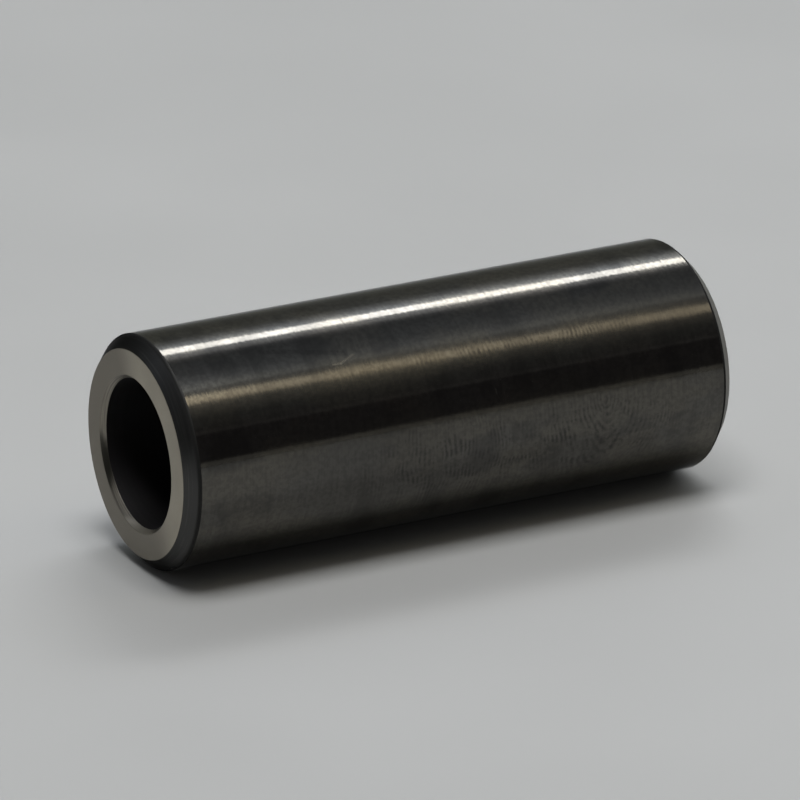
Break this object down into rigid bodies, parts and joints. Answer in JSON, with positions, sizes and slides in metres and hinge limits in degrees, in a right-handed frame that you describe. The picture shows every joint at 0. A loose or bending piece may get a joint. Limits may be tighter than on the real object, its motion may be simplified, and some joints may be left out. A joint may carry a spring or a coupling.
{
  "type": "gudgeon pin",
  "caption": "Hollow cylindrical steel piston pin with a plain through bore, flat ring-shaped end faces and chamfered ends; it joins a piston to its connecting rod.",
  "frame": {"origin": "centre of the lower end face, on the pin's axis", "axes": "+Z along the pin's axis, from the end face it stands on to the other end face"},
  "size_m": [0.022, 0.022, 0.057],
  "materials": {
    "ground_steel": "dark case-hardened steel: bearing surface ground and polished, lead chamfers turned, end faces ground matt"
  },
  "bodies": {
    "root": {"gudgeon_pin": "ground_steel"}
  },
  "joints": []
}
